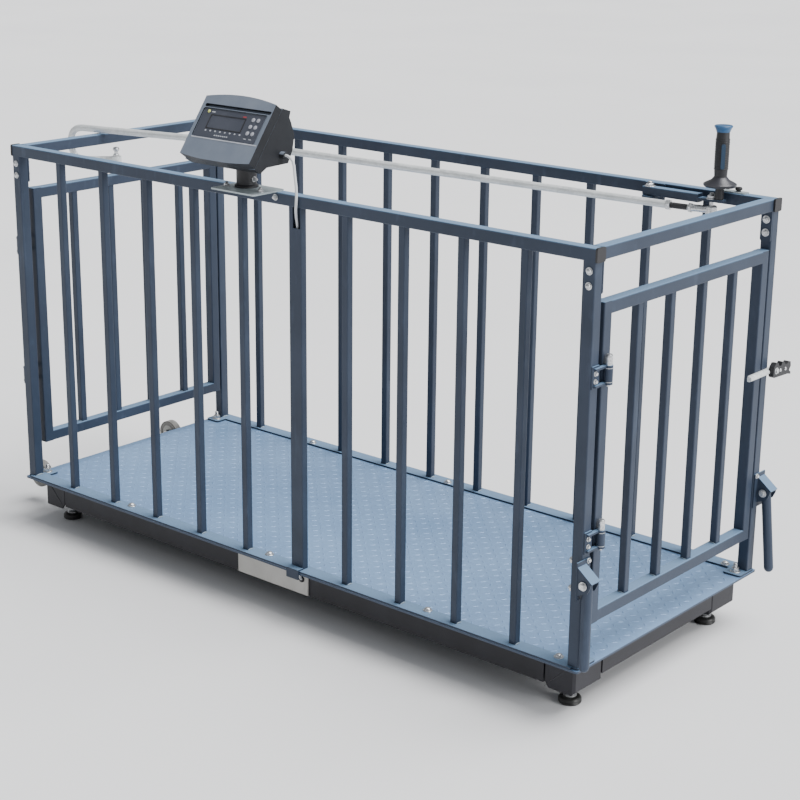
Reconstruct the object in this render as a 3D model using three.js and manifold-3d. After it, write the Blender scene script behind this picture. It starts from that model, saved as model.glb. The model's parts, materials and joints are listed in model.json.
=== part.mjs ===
// Animal weighing scale: a wheeled livestock weighing crate with a gate at each end.
// Millimetres, +Z up. X runs along the crate, -Y is the side that carries the indicator.
import * as THREE from 'three';
import { mergeVertices } from 'three/addons/utils/BufferGeometryUtils.js';
import Module from 'manifold-3d';

// ---- driving dimensions ----
const GAP = 0.3;                  // clearance left between pieces that touch
const SEGMENTS = 24;              // facets on a round part
const SMALL_SEGMENTS = 16;        // facets on one under SMALL_RADIUS
const SMALL_RADIUS = 12;

const DECK_LENGTH = 2000;
const DECK_WIDTH = 820;
const DECK_TOP = 140;
const DECK_THICK = 5;

const TUBE = 30;                  // rails, posts and gate frames
const BAR = 20;                   // upright bars
const CORNER = 2.5;               // outside corner radius of the square tube
const FRAME_X = 995;              // half length over the posts
const FRAME_Y = 400;              // half width over the rails
const RAIL_TOP = 1130;
const POST_X = FRAME_X - TUBE / 2;
const RAIL_Y = FRAME_Y - TUBE / 2;
const BAR_SPACES = 11;
const CABLE_POST_SPACE = 6;       // the near side has the wide cable post here instead of a bar
const CABLE_POST_X = 102;
const CABLE_POST_WIDTH = 42;
const CABLE_POST_WALL = 2.5;
const CABLE_DROP_Y = -385;        // the cable's line down the inside of its post
const CABLE_HOLE_RADIUS = 7;
const STRIP_INNER_Y = 366;
const STRIP_OUTER_Y = 409;
const STRIP_THICK = 5;
const STRIP_TOP = DECK_TOP + GAP + STRIP_THICK;

const BASE_X = 965;               // half length of the base
const BASE_Y = 366;
const BASE_TOP = DECK_TOP - DECK_THICK - GAP;
const SIDE_BEAM_BOTTOM = 60;
const END_BEAM_BOTTOM = 69;
const BEAM_WIDTH = 60;
const HOUSING_BOTTOM = 50;
const HOUSING_LENGTH = 90;
const HOUSING_WIDTH = 116;
const HOUSING_WALL = 4;
const FOOT_X = 915;
const FOOT_Y = 308;
const FOOT_RADIUS = 28;
const STUD_RADIUS = 9;
const CELL_BOTTOM = 84;
const CELL_SIZE = 32;

const COVER_START = -142;
const COVER_END = 116;
const COVER_THICK = 4;
const POCKET_START = -132;
const POCKET_END = 106;
const POCKET_DEPTH = 46;
const CABLE_ENTRY_X = 96;         // where the signal cable passes through the cover
const CABLE_ENTRY_Z = 104;

const WHEEL_X = -1105;
const WHEEL_Y = 269;
const WHEEL_Z = 86;
const WHEEL_RADIUS = 41;
const WHEEL_WIDTH = 28;
const AXLE_RADIUS = 6;

const GATE_NEAR_Y = -341;         // stile centres
const GATE_FAR_Y = 350;
const GATE_BOTTOM = 240;
const GATE_TOP = 1004;
const GATE_BARS_Y = [-201, -62, 78, 217];
const HINGE_X = 1006;
const HINGE_Y = -346;
const HINGE_HEIGHTS = [453, 841];
const HINGE_PIN_RADIUS = 5;
const LATCH_Z = 687;

const HANDLE_X = 1015;
const HANDLE_Y = 405;
const HANDLE_PIVOT_Z = 363;
const HANDLE_RADIUS = 12.5;
const HANDLE_LENGTH = 218;
const FAR_HANDLE_LEAN = 6.5;      // degrees the far handle stands off its post

const LEVER_X = 654;
const LEVER_Y = 343;
const LEVER_BOTTOM = 1102;
const LEVER_HEIGHT = 22;
const LEVER_WIDTH = 25;
const CRANK = 182;
const TONGUE_BOTTOM = 1109;
const TONGUE_THICK = 6;
const GRIP_X = 857;
const ROD_RADIUS = 10;
const THREAD_RADIUS = 7;
const THREAD_LENGTH = 48;
const BALL_Z = 1087;
const ROD_HIGH_Z = 1143;            // clears the end rail over the rod's whole travel
const ROD_LEVEL_LENGTH = 470;
const ROD_LOW_Z = 1046;
const GATE_PIN_X = -980;
const GATE_PIN_Y = -30;

const POLE_X = -45;
const POLE_Y = -413;
const POLE_RADIUS = 25.5;
const HOUSING_X = -50;            // middle of the indicator's panel
const CASE_LEFT = -174;
const CASE_RIGHT = 68;
const FACE_TILT = 36;             // degrees the indicator's face leans back
const FACE_BOTTOM = [-514, 1220]; // y and z of the face's lower edge
const FACE_LOW = -4;              // lower and upper corners, up the face from its lower edge line
const FACE_HIGH = 159;
const FACE_BULGE_LOW = 8;
const FACE_BULGE_HIGH = 12;
// The space above the sloping underside of the indicator, as (y, z).
const UNDERSIDE = [[-540, 1221.7], [-470, 1184.2], [-380, 1184], [-380, 1380], [-540, 1380]];
const KEY_COLUMNS = [67, 84];     // across the face from its middle
const KEY_ROWS = [74, 92, 111];   // up the face from its lower edge
const CABLE_RADIUS = 3.5;

const OFFSET_X = 47.57;             // brings the middle of the whole crate to x = 0, y = 0
const OFFSET_Y = 16.7;

const wasm = await Module();
wasm.setup();

// ---- solids ----
function toSolid(geometry) {
  const bare = geometry.clone();
  bare.deleteAttribute('normal');
  bare.deleteAttribute('uv');
  const merged = mergeVertices(bare, 1e-4);
  return new wasm.Manifold(new wasm.Mesh({
    numProp: 3,
    vertProperties: Float32Array.from(merged.attributes.position.array),
    triVerts: Uint32Array.from(merged.index.array),
  }));
}

function block(x0, x1, y0, y1, z0, z1) {
  const box = new THREE.BoxGeometry(x1 - x0, Math.abs(y1 - y0), z1 - z0);
  return toSolid(box.translate((x0 + x1) / 2, (y0 + y1) / 2, (z0 + z1) / 2));
}

// Extrudes a list of [a, b] points along an axis. The points are (y, z), (x, z) or (x, y).
function prism(axis, points, from, to) {
  const shape = new THREE.Shape(points.map(([a, b]) => new THREE.Vector2(a, b)));
  const body = new THREE.ExtrudeGeometry(shape, { depth: to - from, bevelEnabled: false });
  body.translate(0, 0, from);
  if (axis === 'x') body.applyMatrix4(new THREE.Matrix4().set(0, 0, 1, 0, 1, 0, 0, 0, 0, 1, 0, 0, 0, 0, 0, 1));
  if (axis === 'y') body.applyMatrix4(new THREE.Matrix4().set(1, 0, 0, 0, 0, 0, -1, 0, 0, 1, 0, 0, 0, 0, 0, 1));
  return toSolid(body);
}

// For axis 'y' the extrusion runs toward -Y, so the ends are given the other way round.
function prismY(points, from, to) {
  return prism('y', points, -to, -from);
}

function circle(a, b, radius, count = SEGMENTS) {
  const points = [];
  for (let i = 0; i < count; i += 1) {
    const angle = (2 * Math.PI * i) / count;
    points.push([a + radius * Math.cos(angle), b + radius * Math.sin(angle)]);
  }
  return points;
}

function rounded(a0, a1, b0, b1, radius, steps = 2) {
  const points = [];
  const centres = [
    [a1 - radius, b1 - radius], [a0 + radius, b1 - radius], [a0 + radius, b0 + radius], [a1 - radius, b0 + radius],
  ];
  centres.forEach(([a, b], corner) => {
    for (let i = 0; i <= steps; i += 1) {
      const angle = (Math.PI / 2) * (corner + i / steps);
      points.push([a + radius * Math.cos(angle), b + radius * Math.sin(angle)]);
    }
  });
  return points;
}

function squareBar(axis, size, a, b, from, to) {
  const outline = rounded(a - size / 2, a + size / 2, b - size / 2, b + size / 2, CORNER);
  return axis === 'y' ? prismY(outline, from, to) : prism(axis, outline, from, to);
}

function cylinder(axis, radius, a, b, from, to, count = radius < SMALL_RADIUS ? SMALL_SEGMENTS : SEGMENTS) {
  const outline = circle(a, b, radius, count);
  return axis === 'y' ? prismY(outline, from, to) : prism(axis, outline, from, to);
}

// A turned part about a vertical line. The profile is a list of [radius, z].
function turned(profile, x, y, count = 20) {
  const lathe = new THREE.LatheGeometry(profile.map(([r, z]) => new THREE.Vector2(r, z)), count);
  lathe.rotateX(Math.PI / 2);
  return toSolid(lathe.translate(x, y, 0));
}

// A round bar through a list of centres, each ring square to the path there.
function sweep(path, radius, sides) {
  const positions = [];
  const faces = [];
  let across = new THREE.Vector3(0, 0, 1);
  path.forEach((point, i) => {
    const along = path[Math.min(i + 1, path.length - 1)].clone().sub(path[Math.max(i - 1, 0)]).normalize();
    if (i === 0 && Math.abs(along.z) > 0.9) across.set(1, 0, 0);
    across = across.clone().addScaledVector(along, -across.dot(along)).normalize();
    const third = new THREE.Vector3().crossVectors(along, across);
    for (const [u, v] of circle(0, 0, radius, sides)) {
      positions.push(...point.clone().addScaledVector(across, u).addScaledVector(third, v).toArray());
    }
  });
  for (let i = 0; i + 1 < path.length; i += 1) {
    for (let k = 0; k < sides; k += 1) {
      const a = i * sides + k;
      const b = i * sides + ((k + 1) % sides);
      faces.push(a, b, b + sides, a, b + sides, a + sides);
    }
  }
  const last = (path.length - 1) * sides;
  for (let k = 1; k + 1 < sides; k += 1) faces.push(0, k + 1, k, last, last + k, last + k + 1);
  const bar = new THREE.BufferGeometry();
  bar.setAttribute('position', new THREE.Float32BufferAttribute(positions, 3));
  bar.setIndex(faces);
  return toSolid(bar);
}

const toVectors = (points) => points.map(([x, y, z]) => new THREE.Vector3(x, y, z));

// Straight legs joined by bends that start a set distance from each corner.
function bentPath(points, bend) {
  const corners = toVectors(points);
  const path = [corners[0]];
  for (let i = 1; i < corners.length - 1; i += 1) {
    const before = corners[i].clone().add(corners[i - 1].clone().sub(corners[i]).setLength(bend));
    const after = corners[i].clone().add(corners[i + 1].clone().sub(corners[i]).setLength(bend));
    path.push(...new THREE.QuadraticBezierCurve3(before, corners[i], after).getPoints(6));
  }
  path.push(corners[corners.length - 1]);
  return path;
}

function join(...solids) {
  return solids.flat().reduce((whole, next) => whole.add(next));
}

const material = (color, roughness, metalness) => ({ color, roughness, metalness });
const SLATE_PAINT = material(0x56677a, 0.42, 0.1);
const ZINC = material(0xc3c8c6, 0.4, 0.6);
const STEEL = material(0xb8bcc0, 0.3, 0.9);
const DARK_PAINT = material(0x2d2f36, 0.5, 0.1);
const BLACK_PLASTIC = material(0x151517, 0.55, 0);
const RUBBER = material(0x1a1a1c, 0.85, 0);
const GREY_TYRE = material(0x7b7f83, 0.8, 0);
const PALE_PLATE = material(0x93908a, 0.6, 0.2);
const BLUE_PLASTIC = material(0x1f4fa8, 0.4, 0);
const CABLE_GREY = material(0xc9cdd2, 0.6, 0);
const DARK_GLASS = material(0x1c0a0c, 0.1, 0);
const PALE_HUB = material(0xbfc2c4, 0.5, 0);

const crate = new THREE.Group();
crate.name = 'animal_weighing_scale';

function node(name, solid, look) {
  const mesh = solid.getMesh();
  const geometry = new THREE.BufferGeometry();
  geometry.setAttribute('position', new THREE.BufferAttribute(Float32Array.from(mesh.vertProperties), 3));
  geometry.setIndex(new THREE.BufferAttribute(Uint32Array.from(mesh.triVerts), 1));
  const flat = geometry.toNonIndexed();
  flat.computeVertexNormals();
  const piece = new THREE.Mesh(flat, new THREE.MeshStandardMaterial(look));
  piece.name = name;
  crate.add(piece);
}

// ---- base ----
function deckPlate() {
  const outline = rounded(-DECK_LENGTH / 2, DECK_LENGTH / 2, -DECK_WIDTH / 2, DECK_WIDTH / 2, 6);
  const underside = DECK_TOP - DECK_THICK;
  const cableHole = cylinder('z', CABLE_HOLE_RADIUS, CABLE_POST_X, CABLE_DROP_Y, underside - 1, DECK_TOP + 1);
  return prism('z', outline, DECK_TOP - DECK_THICK, DECK_TOP).subtract(cableHole);
}

function sideBeam(side) {
  const sorted = (a, b) => [Math.min(side * a, side * b), Math.max(side * a, side * b)];
  const [beamA, beamB] = sorted(BASE_Y - BEAM_WIDTH, BASE_Y);
  const inner = BASE_X - HOUSING_LENGTH;
  const [houseA, houseB] = sorted(BASE_Y - HOUSING_WIDTH, BASE_Y);
  const [roomA, roomB] = sorted(BASE_Y - HOUSING_WIDTH + HOUSING_WALL, BASE_Y - HOUSING_WALL);
  let beam = block(-inner - 1, inner + 1, beamA, beamB, SIDE_BEAM_BOTTOM, BASE_TOP);
  for (const end of [-1, 1]) {
    const span = (a, b) => [Math.min(end * a, end * b), Math.max(end * a, end * b)];
    const [x0, x1] = span(inner, BASE_X);
    const [rx0, rx1] = span(inner + HOUSING_WALL, BASE_X - HOUSING_WALL);
    const plan = [
      [x0 + 6, houseA], [x1 - 6, houseA], [x1, houseA + 6], [x1, houseB - 6],
      [x1 - 6, houseB], [x0 + 6, houseB], [x0, houseB - 6], [x0, houseA + 6],
    ];
    const outer = end * BASE_X;
    const taper = [
      [outer, HOUSING_BOTTOM + 8], [outer - end * 8, HOUSING_BOTTOM], [outer - end * 74, HOUSING_BOTTOM],
      [outer - end * HOUSING_LENGTH, SIDE_BEAM_BOTTOM + 12], [outer - end * HOUSING_LENGTH, BASE_TOP], [outer, BASE_TOP],
    ];
    const sideView = prismY(end < 0 ? taper : taper.slice().reverse(), houseA - 1, houseB + 1);
    beam = beam.add(prism('z', plan, HOUSING_BOTTOM, BASE_TOP).intersect(sideView));
    beam = beam.subtract(block(rx0, rx1, roomA, roomB, HOUSING_BOTTOM - 1, BASE_TOP - HOUSING_WALL));
  }
  if (side < 0) {
    const pocket = block(POCKET_START, POCKET_END, -BASE_Y - 1, -BASE_Y + POCKET_DEPTH, 68, 127);
    beam = beam.subtract(pocket);
  }
  return beam;
}

function endBeam(end) {
  const reach = BASE_Y - HOUSING_WIDTH - GAP;
  const x0 = end < 0 ? -BASE_X : BASE_X - BEAM_WIDTH;
  return block(x0, x0 + BEAM_WIDTH, -reach, reach, END_BEAM_BOTTOM, BASE_TOP);
}

function loadCell(end, side) {
  const x = end * FOOT_X;
  const half = CELL_SIZE / 2;
  const near = side * (FOOT_Y - 18);
  const far = side * (BASE_Y - HOUSING_WALL - 4);
  const foot = side * (FOOT_Y + 26);
  const bar = block(x - half, x + half, Math.min(near, far), Math.max(near, far), CELL_BOTTOM, CELL_BOTTOM + 30);
  const roof = BASE_TOP - HOUSING_WALL - GAP;
  const spacer = block(x - half, x + half, Math.min(foot, far), Math.max(foot, far), CELL_BOTTOM + 29, roof);
  return bar.add(spacer);
}

function levellingFoot(end, side) {
  const profile = [
    [0, 0], [FOOT_RADIUS - 2, 0], [FOOT_RADIUS, 3], [FOOT_RADIUS, 13], [FOOT_RADIUS - 6, 18], [14, 20], [14, 30],
    [STUD_RADIUS, 31], [STUD_RADIUS, CELL_BOTTOM - 1], [0, CELL_BOTTOM - 1],
  ];
  return turned(profile, end * FOOT_X, side * FOOT_Y);
}

function junctionCover() {
  const back = -BASE_Y - GAP;
  const plate = block(COVER_START, COVER_END, back - COVER_THICK, back, SIDE_BEAM_BOTTOM + 1, BASE_TOP - 1);
  return plate.subtract(cylinder('y', 7, CABLE_ENTRY_X, CABLE_ENTRY_Z, back - COVER_THICK - 1, back + 1));
}

function junctionBox() {
  return block(-70, 60, -BASE_Y + 8, -BASE_Y + POCKET_DEPTH - GAP, 74, 118);
}

// ---- cage ----
function footPlate(end, side) {
  const reach = side * (FRAME_Y - 70);
  const edge = side * (FRAME_Y + 2);
  const x0 = end < 0 ? -FRAME_X - 3 : FRAME_X - 50;
  const outline = rounded(x0, x0 + 53, Math.min(reach, edge), Math.max(reach, edge), 8, 3);
  return prism('z', outline, DECK_TOP + GAP, STRIP_TOP);
}

function sidePanel(side) {
  const y = side * RAIL_Y;
  const railZ = RAIL_TOP - TUBE / 2;
  const stripA = Math.min(side * STRIP_INNER_Y, side * STRIP_OUTER_Y);
  const strip = block(-POST_X, POST_X, stripA, stripA + STRIP_OUTER_Y - STRIP_INNER_Y, DECK_TOP + GAP, STRIP_TOP);
  const parts = [squareBar('x', TUBE, y, railZ, -FRAME_X, FRAME_X), strip];
  for (const end of [-1, 1]) {
    parts.push(squareBar('z', TUBE, end * POST_X, y, STRIP_TOP - 1, railZ));
    parts.push(footPlate(end, side));
  }
  for (let k = 1; k < BAR_SPACES; k += 1) {
    const x = -POST_X + (2 * POST_X * k) / BAR_SPACES;
    const isCablePost = side < 0 && k === CABLE_POST_SPACE;
    if (!isCablePost) parts.push(squareBar('z', BAR, x, y, STRIP_TOP - 1, railZ));
  }
  const panel = join(parts);
  if (side > 0) return panel;
  return panel.subtract(cylinder('z', CABLE_HOLE_RADIUS, CABLE_POST_X, CABLE_DROP_Y, DECK_TOP, STRIP_TOP + 1));
}

function cablePost() {
  const half = CABLE_POST_WIDTH / 2;
  const room = half - CABLE_POST_WALL;
  const roomDepth = BAR / 2 - CABLE_POST_WALL;
  const top = RAIL_TOP - TUBE - GAP;
  const outline = rounded(CABLE_POST_X - half, CABLE_POST_X + half, -RAIL_Y - BAR / 2, -RAIL_Y + BAR / 2, CORNER);
  const post = prism('z', outline, STRIP_TOP + GAP, top);
  const lap = [
    block(CABLE_POST_X - half, CABLE_POST_X + half, -DECK_WIDTH / 2 - 4.5, -RAIL_Y, STRIP_TOP + GAP, STRIP_TOP + 4),
    block(CABLE_POST_X - half, CABLE_POST_X + half, -DECK_WIDTH / 2 - 4.5, -DECK_WIDTH / 2 - 0.5, 122, STRIP_TOP + 4),
  ];
  const bore = block(CABLE_POST_X - room, CABLE_POST_X + room, -RAIL_Y - roomDepth, -RAIL_Y + roomDepth, 140, top + 1);
  const slot = block(CABLE_POST_X - 7, CABLE_POST_X + 18, -RAIL_Y - BAR, -RAIL_Y, 1046, top + 1);
  return join(post, lap).subtract(bore).subtract(slot);
}

function endRail(end) {
  const x = end * POST_X;
  const reach = FRAME_Y - TUBE - GAP;
  const parts = [squareBar('y', TUBE, x, RAIL_TOP - TUBE / 2, -reach, reach)];
  for (const side of [-1, 1]) {
    const a = Math.min(side * (reach - 4), side * reach);
    const outline = rounded(x - TUBE / 2, x + TUBE / 2, RAIL_TOP - TUBE - 76, RAIL_TOP - 10, 6, 3);
    parts.push(prismY(outline, a, a + 4));
  }
  return join(parts);
}

function endCap(end, side) {
  const y = side * RAIL_Y;
  const outline = rounded(y - 16.5, y + 16.5, RAIL_TOP - TUBE / 2 - 16.5, RAIL_TOP - TUBE / 2 + 16.5, 4);
  const a = end < 0 ? -FRAME_X - GAP - 5 : FRAME_X + GAP;
  return prism('x', outline, a, a + 5);
}

// ---- gates ----
function gate(end) {
  const x = end * POST_X;
  const parts = [
    squareBar('z', TUBE, x, GATE_NEAR_Y, GATE_BOTTOM, GATE_TOP),
    squareBar('z', TUBE, x, GATE_FAR_Y, GATE_BOTTOM, GATE_TOP),
    squareBar('y', TUBE, x, GATE_TOP - TUBE / 2, GATE_NEAR_Y, GATE_FAR_Y),
    squareBar('y', TUBE, x, GATE_BOTTOM + TUBE / 2, GATE_NEAR_Y, GATE_FAR_Y),
  ];
  for (const y of GATE_BARS_Y) {
    parts.push(squareBar('z', BAR, x, y, GATE_BOTTOM + TUBE / 2, GATE_TOP - TUBE / 2));
  }
  for (const z of HINGE_HEIGHTS) {
    const [webInner, webOuter] = [end * 990, end * 1000].sort((a, b) => a - b);
    const web = block(webInner, webOuter, HINGE_Y - 6, HINGE_Y + 6, z - 15, z + 15);
    parts.push(web, cylinder('z', 10, end * HINGE_X, HINGE_Y, z - 15, z + 15));
  }
  const bores = HINGE_HEIGHTS.map((z) => cylinder('z', HINGE_PIN_RADIUS + 0.5, end * HINGE_X, HINGE_Y, z - 16, z + 16));
  return join(parts).subtract(join(bores));
}

// Two cheeks above and below the gate's eye, welded to a plate on the post.
function hingeBracket(end, z) {
  const x = end * HINGE_X;
  const a = end < 0 ? -FRAME_X - GAP - 4 : FRAME_X + GAP;
  const plate = block(a, a + 4, -FRAME_Y + 2, -FRAME_Y + TUBE - 2, z - 26, z + 26);
  const cheek = (z0) => {
    const arm = block(Math.min(a, x), Math.max(a + 4, x), -FRAME_Y + 6, HINGE_Y + 2, z0, z0 + 5);
    return arm.add(cylinder('z', 10, x, HINGE_Y, z0, z0 + 5));
  };
  const bore = cylinder('z', HINGE_PIN_RADIUS + GAP, x, HINGE_Y, z - 30, z + 30);
  return join(plate, cheek(z - 22), cheek(z + 17)).subtract(bore);
}

function hingePin(end, z) {
  const profile = [
    [0, z - 27], [HINGE_PIN_RADIUS - 1, z - 27], [HINGE_PIN_RADIUS, z - 25], [HINGE_PIN_RADIUS, z + 22 + GAP],
    [8, z + 22 + GAP], [8, z + 44], [6, z + 47], [0, z + 47],
  ];
  return turned(profile, end * HINGE_X, HINGE_Y);
}

function latchStrap() {
  const outline = rounded(298, 424, LATCH_Z - 9, LATCH_Z + 7, 5);
  const strap = prism('x', outline, FRAME_X + GAP, FRAME_X + GAP + 5);
  const bar = cylinder('y', 6, FRAME_X + 6.8, LATCH_Z - 1, 298, 390);
  return join(strap, bar, cylinder('x', 4, 412, LATCH_Z, FRAME_X + 4, FRAME_X + 19));
}

// The outline is (y, z), with the finger tab at the far end and two notches along the top.
function latchLever() {
  const shape = [[396, -12], [402, -17], [470, -20], [487, -24], [487, -18], [478, -12], [486, -2], [484, 10], [474, 13],
    [466, 8], [456, 8], [450, 16], [440, 18], [434, 9], [424, 9], [420, 19], [408, 21], [398, 12]];
  const lever = prism('x', shape.map(([y, z]) => [y, LATCH_Z + z]), FRAME_X + 6, FRAME_X + 20);
  return lever.subtract(cylinder('x', 4.5, 412, LATCH_Z, FRAME_X + 5, FRAME_X + 21));
}

// ---- carrying handles ----
function handleBracket(side) {
  const y = side * HANDLE_Y;
  const [low, high] = [Math.min(y - 18, side * 372), Math.max(y + 18, side * 372)];
  const base = block(FRAME_X + GAP, FRAME_X + GAP + 3, low, high, 322, 414);
  const cheekOutline = [[997, 334], [1026, 346], [1034, 363], [1034, 374], [997, 403]];
  const roofOutline = [[996, 400], [1036, 369], [1038, 372], [996, 405]];
  const parts = [base, prismY(roofOutline, y - 17, y + 17), cylinder('y', 5, HANDLE_X, HANDLE_PIVOT_Z, y - 19, y + 19)];
  for (const edge of [y - 17, y + 14]) parts.push(prismY(cheekOutline, edge, edge + 3));
  return join(parts);
}

function handleTube(side) {
  const y = side * HANDLE_Y;
  const low = HANDLE_PIVOT_Z - HANDLE_LENGTH;
  const r = HANDLE_RADIUS;
  const profile = [[0, low], [6, low + 1], [10.5, low + 5], [r, low + 11], [r, HANDLE_PIVOT_Z], [r - 1.5, HANDLE_PIVOT_Z + 6],
    [r - 5, HANDLE_PIVOT_Z + 10.5], [0, HANDLE_PIVOT_Z + 12]];
  const bore = cylinder('y', 5.5, HANDLE_X, HANDLE_PIVOT_Z, y - 20, y + 20);
  const tube = turned(profile, HANDLE_X, y).subtract(bore);
  if (side < 0) return tube;
  return tube
    .translate([-HANDLE_X, 0, -HANDLE_PIVOT_Z])
    .rotate([0, -FAR_HANDLE_LEAN, 0])
    .translate([HANDLE_X, 0, HANDLE_PIVOT_Z]);
}

// ---- wheels ----
function wheelBracket(side) {
  const y = side * WHEEL_Y;
  const plate = block(-BASE_X - GAP - 5, -BASE_X - GAP, y - 26, y + 26, 72, 128);
  const cheek = [[WHEEL_X, 72], [WHEEL_X - 12, 78], [WHEEL_X - 14, WHEEL_Z], [WHEEL_X - 12, 94], [WHEEL_X, 100],
    [-1040, 110], [-BASE_X - 3, 124], [-BASE_X - 3, 72]];
  const parts = [plate, cylinder('y', AXLE_RADIUS, WHEEL_X, WHEEL_Z, y - 24, y + 24)];
  for (const edge of [y - 21, y + 17]) parts.push(prismY(cheek, edge, edge + 4));
  return join(parts);
}

function wheelHub(side) {
  const y = side * WHEEL_Y;
  const half = WHEEL_WIDTH / 2;
  const rim = cylinder('y', 27, WHEEL_X, WHEEL_Z, y - half + 2, y + half - 2, 32);
  const boss = cylinder('y', 13, WHEEL_X, WHEEL_Z, y - half - 1, y + half + 1);
  const bore = cylinder('y', AXLE_RADIUS + 0.4, WHEEL_X, WHEEL_Z, y - half - 2, y + half + 2);
  return join(rim, boss).subtract(bore);
}

function tyre(side) {
  const y = side * WHEEL_Y;
  const half = WHEEL_WIDTH / 2;
  const tread = cylinder('y', WHEEL_RADIUS, WHEEL_X, WHEEL_Z, y - half + 3, y + half - 3, 36);
  const shoulder = cylinder('y', WHEEL_RADIUS - 4, WHEEL_X, WHEEL_Z, y - half, y + half, 36);
  return join(tread, shoulder).subtract(cylinder('y', 27 + GAP, WHEEL_X, WHEEL_Z, y - half - 1, y + half + 1, 32));
}

// ---- gate opening gear ----
function leverBracket() {
  const face = FRAME_Y - TUBE - GAP;
  const plate = block(LEVER_X - 30, LEVER_X + 30, face - 4, face, LEVER_BOTTOM - 14, RAIL_TOP - 1);
  const shelfTop = LEVER_BOTTOM - 2;
  const shelf = block(LEVER_X - 20, LEVER_X + 20, LEVER_Y, face - 1, shelfTop - 8, shelfTop).add(
    cylinder('z', 20, LEVER_X, LEVER_Y, shelfTop - 8, shelfTop));
  const stud = cylinder('z', 6, LEVER_X, LEVER_Y, shelfTop - 4, LEVER_BOTTOM + LEVER_HEIGHT + 8);
  return join(plate, shelf, stud);
}

function leverArm() {
  const half = LEVER_WIDTH / 2;
  const outline = rounded(LEVER_Y - half, LEVER_Y + half, LEVER_BOTTOM, LEVER_BOTTOM + LEVER_HEIGHT, CORNER);
  const arm = prism('x', outline, LEVER_X - 15, LEVER_X + 149);
  const tongue = prism('z', rounded(LEVER_X + 140, GRIP_X + 15, LEVER_Y - half, LEVER_Y + half, 8, 3),
    TONGUE_BOTTOM, TONGUE_BOTTOM + TONGUE_THICK);
  const pivotBore = cylinder('z', 6.5, LEVER_X, LEVER_Y, LEVER_BOTTOM - 1, LEVER_BOTTOM + LEVER_HEIGHT + 1);
  const ballBore = cylinder('z', 5.5, LEVER_X + CRANK, LEVER_Y, TONGUE_BOTTOM - 1, TONGUE_BOTTOM + TONGUE_THICK + 1);
  return join(arm, tongue).subtract(pivotBore).subtract(ballBore);
}

function grip() {
  const foot = TONGUE_BOTTOM + TONGUE_THICK + GAP;
  const profile = [[0, foot], [11, foot], [11, 1146], [38, 1148], [41, 1151], [41, 1155], [36, 1159], [22, 1166],
    [16, 1173], [17.5, 1200], [17.5, 1258], [16, 1284], [0, 1284]];
  return turned(profile, GRIP_X, LEVER_Y, 32);
}

function gripCap() {
  const profile = [[0, 1284.3], [19, 1284.3], [22.5, 1287], [22.5, 1293], [17, 1299], [8, 1301], [0, 1301]];
  return turned(profile, GRIP_X, LEVER_Y, 32);
}

function rodPath() {
  const ball = new THREE.Vector3(LEVER_X + CRANK, LEVER_Y, BALL_Z);
  const bend = new THREE.Vector3(-1079, -117, ROD_HIGH_Z);
  const along = bend.clone().sub(ball).setZ(0).normalize();
  return { ball, bend, along };
}

function rodEnd() {
  const { ball, along } = rodPath();
  const studTop = TONGUE_BOTTOM + TONGUE_THICK + 12;
  const socketProfile = [
    [0, BALL_Z - 12], [13, BALL_Z - 12], [15, BALL_Z - 8], [15, BALL_Z + 7], [13, BALL_Z + 10], [0, BALL_Z + 10],
  ];
  const studProfile = [[0, BALL_Z + 5], [5, BALL_Z + 5], [5, studTop], [0, studTop]];
  const socket = turned(socketProfile, ball.x, ball.y);
  const stud = turned(studProfile, ball.x, ball.y);
  const shankEnd = ball.clone().addScaledVector(along, 58);
  const shank = sweep([ball, shankEnd], 9.5, 16);
  return join(socket, stud, shank);
}

function pushRod() {
  const { ball, bend, along } = rodPath();
  const start = ball.clone().addScaledVector(along, 59);
  const level = bend.clone().addScaledVector(along, -ROD_LEVEL_LENGTH);
  const hook = [bend.x, bend.y, ROD_LOW_Z];
  const uphill = level.clone().sub(start).normalize();
  const tubeStart = start.clone().addScaledVector(uphill, THREAD_LENGTH);
  const thread = sweep([start, tubeStart.clone().addScaledVector(uphill, 5)], THREAD_RADIUS, 12);
  const corners = [tubeStart.toArray(), level.toArray(), bend.toArray(), hook, [GATE_PIN_X, GATE_PIN_Y, ROD_LOW_Z]];
  const rod = sweep(bentPath(corners, 44), ROD_RADIUS, 12);
  const eye = cylinder('z', 15, GATE_PIN_X, GATE_PIN_Y, ROD_LOW_Z - 10, ROD_LOW_Z + 10);
  const bore = cylinder('z', 6.3, GATE_PIN_X, GATE_PIN_Y, ROD_LOW_Z - 20, ROD_LOW_Z + 20);
  return join(thread, rod, eye).subtract(bore);
}

function gatePin() {
  const foot = GATE_TOP + 0.5;
  const top = ROD_LOW_Z + 10 + GAP;
  const profile = [
    [0, foot], [11, foot], [11, foot + 6], [6, foot + 6], [6, top], [9, top], [9, top + 5], [5.5, top + 8],
    [5.5, top + 14], [9, top + 17], [10, top + 21], [8, top + 26], [0, top + 28],
  ];
  return turned(profile, GATE_PIN_X, GATE_PIN_Y);
}

// ---- indicator ----
function indicatorBracket() {
  const top = RAIL_TOP + GAP;
  return prism('z', rounded(-103, 48, -483, -373, 6, 3), top, top + 4);
}

function pole() {
  const low = RAIL_TOP + GAP + 4 + GAP;
  const profile = [
    [0, low], [30, low], [30, low + 5], [POLE_RADIUS, low + 7], [POLE_RADIUS, 1194], [18, 1199.4], [0, 1199.4],
  ];
  return turned(profile, POLE_X, POLE_Y, 32);
}

// Places a solid built lying flat (x across, y up the face, z out of it) on the leaning face.
function onFace(solid) {
  const angle = 90 - FACE_TILT;
  return solid.rotate([angle, 0, 0]).translate([HOUSING_X, FACE_BOTTOM[0], FACE_BOTTOM[1]]);
}

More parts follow.
